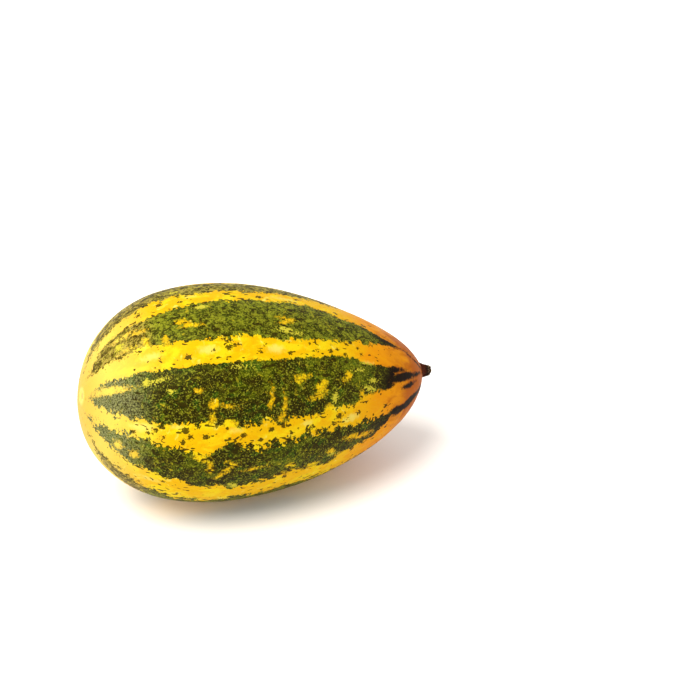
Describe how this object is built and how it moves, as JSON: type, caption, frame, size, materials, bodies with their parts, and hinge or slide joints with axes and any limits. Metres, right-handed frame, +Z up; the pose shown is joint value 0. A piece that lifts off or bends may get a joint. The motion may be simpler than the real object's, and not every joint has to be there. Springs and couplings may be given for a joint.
{
  "type": "cucumber",
  "caption": "Ripe striped cucumber, a plump egg-shaped fruit with a short dry stem stub, lying on its belly.",
  "frame": {"origin": "on the surface that the fruit lies on, under the middle of the whole object's box", "axes": "+X along the fruit from the blossom end to the stem end, +Y to its left seen from the blossom end, +Z up"},
  "size_m": [0.1706, 0.101, 0.1013],
  "materials": {
    "skin": "satin waxy skin, golden yellow with dark green mottled stripes",
    "stalk": "dry, rough and ridged"
  },
  "bodies": {
    "root": {"fruit": "skin", "stem_stub": "stalk"}
  },
  "joints": []
}
